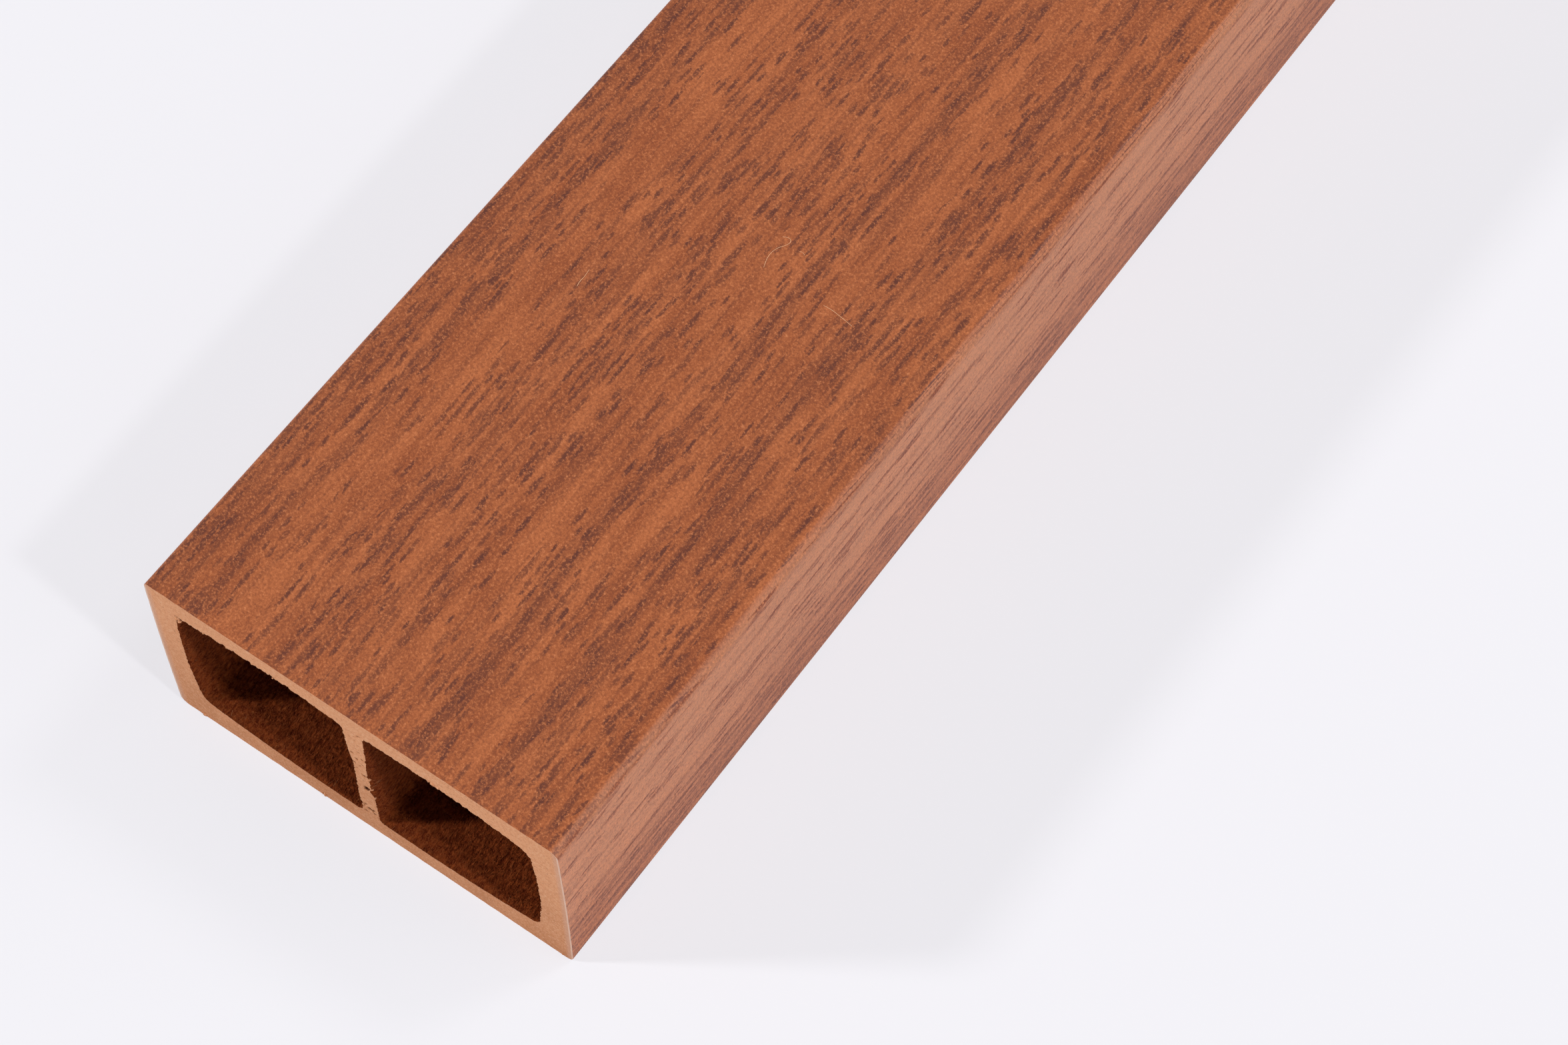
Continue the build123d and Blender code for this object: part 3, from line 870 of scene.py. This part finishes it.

# Material: raised wood fibre in the extruded skin. It is dull and reddish brown, painted darker at the root
# as shade among the fibres and paler towards each tip as a highlight.
nap_fibre, tree = new_material("raised_wood_fibre")
root_colour, tip_colour = colour("#7C3818"), colour("#A2582E")
tip_place = add(tree, "ShaderNodeAttribute", attribute_name="tip").outputs["Fac"]
on_wall = place_in_mm(tree)
shade = add(tree, "ShaderNodeTexNoise",
            {"Vector": on_wall, "Scale": 1 / clump_size, "Detail": 2.0, "Roughness": 0.7})
shade = add(tree, "ShaderNodeMapRange", {"Value": shade, "From Min": 0.35, "From Max": 0.65})
pale = add(tree, "ShaderNodeMath", {0: tip_place, 1: shade}, operation="MULTIPLY")
tint = add(tree, "ShaderNodeMix", {"Factor": pale, "A": root_colour, "B": tip_colour}, data_type="RGBA")
fibre_skin = add(tree, "ShaderNodeBsdfPrincipled",
                 {"Base Color": tint, "Roughness": 0.8, "Specular IOR Level": 0.1})
add(tree, "ShaderNodeOutputMaterial", {"Surface": fibre_skin})
nap_piece = placed("chamber_nap", finished.copy())
made_with(fibres, nap_piece, {"Deepest": 14 * mm, "Density": 5.0 / mm ** 2, "Length": 0.28 * mm,
                              "Thickness": 0.11 * mm, "Rise": 0.8, "Spread": 0.50, "Seed": 5,
                              "Material": nap_fibre})
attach(nap_piece, "root")

# Whiskers at the mouths
# Longer, paler wood fibres of the same composite. The saw pulled them out of the chamber walls and left them
# standing just behind the cut.
whisker_fibre, tree = new_material("torn_wood_fibre")
root_colour, tip_colour = colour("#8E5530"), colour("#C99A6C")
tip_place = add(tree, "ShaderNodeAttribute", attribute_name="tip").outputs["Fac"]
tint = add(tree, "ShaderNodeMix", {"Factor": tip_place, "A": root_colour, "B": tip_colour},
           data_type="RGBA")
whisker_skin = add(tree, "ShaderNodeBsdfPrincipled",
                   {"Base Color": tint, "Roughness": 0.7, "Specular IOR Level": 0.3})
add(tree, "ShaderNodeOutputMaterial", {"Surface": whisker_skin})
whisker_piece = placed("mouth_whiskers", finished.copy())
made_with(fibres, whisker_piece, {"Deepest": 2.0 * mm, "Density": 0.12 / mm ** 2, "Length": 1.3 * mm,
                                  "Thickness": 0.035 * mm, "Rise": 0.35, "Spread": 0.5, "Seed": 8,
                                  "Material": whisker_fibre})
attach(whisker_piece, "root")

# Saw crumbs
# Clots of torn composite, of the same stuff as the sawn face. The blade left them hanging on the edges of
# the cut. Each is given as place x and z, and size.
crumb_places = [
    (-43.6, 0.75, 0.50), (-44.5, 0.6, 0.30), (-42.7, 0.6, 0.34), (-12.3, 0.8, 0.55), (-13.1, 0.7, 0.36),
    (-11.6, 0.6, 0.32), (20.2, 44.7, 0.46), (21.5, 44.6, 0.38), (19.4, 45.0, 0.26), (-42.9, 43.0, 0.50),
    (-42.4, 42.3, 0.34), (2.3, 20.4, 0.22), (2.5, 16.8, 0.20), (2.3, 24.9, 0.22), (23.6, 44.8, 0.22),
    (27.9, 44.5, 0.20), (33.0, 43.9, 0.20), (-18.6, 44.9, 0.26), (-23.9, 44.9, 0.24), (-30.4, 44.5, 0.24),
    (-36.2, 44.0, 0.22), (-8.1, 44.5, 0.20), (47.4, 0.5, 0.22), (12.8, 0.5, 0.24), (33.7, 0.5, 0.20),
]
crumb_depth, clot_grain, full_turn = 0.15, 0.35, 6.28
crumb_tree, given = new_shape_tree("crumbs",
                                   {"Float": ["Ruggedness"], "Int": ["Seed"], "Material": ["Material"]})
size = add(crumb_tree, "GeometryNodeInputNamedAttribute", {"Name": "size"}, data_type="FLOAT")
clot = add(crumb_tree, "GeometryNodeMeshIcoSphere", {"Radius": 1.0, "Subdivisions": 3})
turn_way = add(crumb_tree, "FunctionNodeRandomValue", {"Max": [full_turn] * 3, "Seed": given["Seed"]},
               data_type="FLOAT_VECTOR")
spots = add(crumb_tree, "GeometryNodeMeshToPoints", {"Mesh": given["Geometry"]})
clots = add(crumb_tree, "GeometryNodeInstanceOnPoints",
            {"Points": spots, "Instance": clot.outputs["Mesh"], "Rotation": turn_way, "Scale": size})
clots = add(crumb_tree, "GeometryNodeRealizeInstances", {0: clots})
clot_noise = add(crumb_tree, "ShaderNodeTexNoise", {"Scale": 1 / (clot_grain * mm), "Detail": 2.0})
clot_noise = add(crumb_tree, "ShaderNodeMath", {0: clot_noise, 1: 0.5}, operation="SUBTRACT")
clot_noise = add(crumb_tree, "ShaderNodeMath", {0: clot_noise, 1: given["Ruggedness"]},
                 operation="MULTIPLY")
clot_way = add(crumb_tree, "ShaderNodeVectorMath",
               {0: add(crumb_tree, "GeometryNodeInputNormal"), "Scale": clot_noise},
               operation="SCALE")
clots = add(crumb_tree, "GeometryNodeSetPosition", {"Geometry": clots, "Offset": clot_way})
clots = add(crumb_tree, "GeometryNodeSetMaterial", {"Geometry": clots, "Material": given["Material"]})
add(crumb_tree, "NodeGroupOutput", {0: clots})

crumb_spots = bpy.data.meshes.new("crumb_spots")
crumb_y = (near_end + crumb_depth) * mm
crumb_spots.from_pydata([(x * mm, crumb_y, z * mm) for x, z, size in crumb_places], [], [])
crumb_sizes = crumb_spots.attributes.new("size", "FLOAT", "POINT")
crumb_sizes.data.foreach_set("value", [size * mm for x, z, size in crumb_places])
crumb_piece = placed("saw_crumbs", crumb_spots)
made_with(crumb_tree, crumb_piece, {"Ruggedness": 0.9 * mm, "Seed": 3, "Material": sawn_composite})
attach(crumb_piece, "root")

# Lint on the top face
# A few stray fibres of packing that cling to the foil: a curl, a straight one and some short bits. Each is
# a line of points: x across and y from the near end.
lint_width, lint_lift, lint_weld = 0.10, 0.4, 0.002
lint_lines = [
    [(4.4, 135.6), (5.6, 136.3), (6.6, 135.7), (6.3, 134.4), (5.2, 133.0), (4.7, 131.2), (4.9, 129.2),
     (5.6, 127.4)],
    [(20.7, 126.9), (22.5, 127.0), (24.6, 126.7), (26.6, 126.4), (28.2, 126.1)],
    [(9.3, 134.6), (10.0, 135.1), (10.6, 134.5)],
    [(-22.9, 106.8), (-22.6, 105.1), (-22.8, 103.4), (-22.5, 102.2)],
]
lint_curve = bpy.data.curves.new("lint_line", "CURVE")
lint_curve.dimensions = "3D"
lint_curve.bevel_depth = lint_width / 2 * mm
lint_curve.bevel_resolution = 1
lint_curve.resolution_u = 4
lint_curve.use_fill_caps = True
for line in lint_lines:
    spline = lint_curve.splines.new("NURBS")
    spline.points.add(len(line) - 1)
    for point, (x, y) in zip(spline.points, line):
        point.co = (x * mm, (near_end + y) * mm, (top + lint_width * lint_lift) * mm, 1.0)
    spline.order_u = 3
    spline.use_endpoint_u = True
lint_source = placed("lint_source", lint_curve)
lint_ready = lint_source.evaluated_get(bpy.context.evaluated_depsgraph_get())
lint_mesh = bpy.data.meshes.new_from_object(lint_ready)
bpy.data.objects.remove(lint_source)
lint_mesh.name = "lint"
welded = bmesh.new()
welded.from_mesh(lint_mesh)
bmesh.ops.remove_doubles(welded, verts=welded.verts, dist=lint_weld * mm)
bmesh.ops.recalc_face_normals(welded, faces=welded.faces)
welded.to_mesh(lint_mesh)
welded.free()
lint_piece = placed("lint", lint_mesh)

# Material: bleached packing fibre, pale and a little glossy, darker where it is thin.
lint_fibre, tree = new_material("packing_fibre")
on_lint = place_in_mm(tree)
thin = add(tree, "ShaderNodeTexNoise", {"Vector": on_lint, "Scale": 1 / 1.5, "Detail": 2.0})
tint = add(tree, "ShaderNodeMix", {"Factor": thin, "A": colour("#D98F5E"), "B": colour("#F2C9A0")},
           data_type="RGBA")
lint_skin = add(tree, "ShaderNodeBsdfPrincipled",
                {"Base Color": tint, "Roughness": 0.5, "Specular IOR Level": 0.4})
add(tree, "ShaderNodeOutputMaterial", {"Surface": lint_skin})
lint_mesh.materials.clear()
lint_mesh.materials.append(lint_fibre)
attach(lint_piece, "root")

# The floor, the light and the camera
# A white studio table under a white dome, with five lamps, sharp ones for the shadows and soft ones for the
# sheen. The camera sees part of the table as plain light, so that the ground stays even.
floor_mesh = bpy.data.meshes.new("floor")
reach = 40.0
floor_mesh.from_pydata([(-reach, -reach, 0), (reach, -reach, 0), (reach, reach, 0), (-reach, reach, 0)], [],
                       [(0, 1, 2, 3)])
floor = placed("floor", floor_mesh)
table_white, tree = new_material("studio_table")
paper_colour, seen_colour, seen_share = colour("#E2E1E6"), colour("#FBFAFF"), 0.68
rays = add(tree, "ShaderNodeLightPath")
white_share = add(tree, "ShaderNodeMath", {0: rays.outputs["Is Camera Ray"], 1: seen_share},
                  operation="MULTIPLY")
paper = add(tree, "ShaderNodeBsdfDiffuse", {"Color": paper_colour})
white = add(tree, "ShaderNodeEmission", {"Color": seen_colour, "Strength": 1.0})
paper = add(tree, "ShaderNodeMixShader", {0: white_share, 1: paper, 2: white})
add(tree, "ShaderNodeOutputMaterial", {"Surface": paper})
floor_mesh.materials.append(table_white)

# The dome looks plain white, and gives the tube more light from above and from behind than from the front.
dome = bpy.data.worlds.new("dome")
bpy.context.scene.world = dome
dome.use_nodes = True
tree = dome.node_tree
tree.nodes.clear()
dome_low, dome_high, front_share = 0.06, 0.36, 0.05
rays = add(tree, "ShaderNodeLightPath")
seen = add(tree, "ShaderNodeMath", {0: rays.outputs["Is Camera Ray"], 1: rays.outputs["Is Glossy Ray"]},
           operation="MAXIMUM")
seen = add(tree, "ShaderNodeMath", {0: seen, 1: rays.outputs["Is Transmission Ray"]}, operation="MAXIMUM")
way = add(tree, "ShaderNodeSeparateXYZ", {0: add(tree, "ShaderNodeTexCoord").outputs["Generated"]})
height = add(tree, "ShaderNodeMapRange",
             {"Value": way.outputs["Z"], "To Min": dome_low, "To Max": dome_high})
front = add(tree, "ShaderNodeMapRange", {"Value": way.outputs["Y"], "From Min": -0.5, "From Max": 0.2,
                                         "To Min": front_share, "To Max": 1.0})
level = add(tree, "ShaderNodeMath", {0: height, 1: front}, operation="MULTIPLY")
strength = add(tree, "ShaderNodeMix", {"Factor": seen, "A": level, "B": 1.0})
sky = add(tree, "ShaderNodeBackground", {"Color": (1, 1, 1, 1), "Strength": strength})
add(tree, "ShaderNodeOutputWorld", {"Surface": sky})

# Each lamp: the way to it from the tube, its strength, and how wide it looks, in degrees.
lamps = [("lamp_right", (0.72, -0.08, 0.70), 1.0, 4.0),
         ("lamp_left_front", (-0.69, -0.48, 0.53), 2.05, 6.0),
         ("lamp_back", (0.31, 0.54, 0.78), 0.60, 14.0),
         ("softbox_right", (0.86, 0.30, 0.42), 0.95, 50.0),
         ("card_right", (0.84, -0.54, 0.07), 0.70, 20.0)]
for name, way, power, width in lamps:
    light = bpy.data.lights.new(name, "SUN")
    light.energy = power
    light.angle = math.radians(width)
    lamp = placed(name, light)
    lamp.rotation_euler = Vector(way).to_track_quat("Z", "Y").to_euler()

camera_data = bpy.data.cameras.new("camera")
camera_data.lens = 86.36
camera_data.sensor_width = 36.0
camera_data.clip_start = 0.01
camera = placed("camera", camera_data)
camera_place = Vector((257.6, near_end - 205.7, 684.1)) * mm
looks_at = Vector((43.2, near_end + 81.7, top)) * mm
roll = math.radians(-1.42)
facing = (looks_at - camera_place).to_track_quat("-Z", "Y").to_matrix().to_4x4()
facing = facing @ Matrix.Rotation(roll, 4, "Z")
camera.matrix_world = Matrix.Translation(camera_place) @ facing
bpy.context.scene.camera = camera
bpy.context.scene.view_settings.view_transform = "Standard"
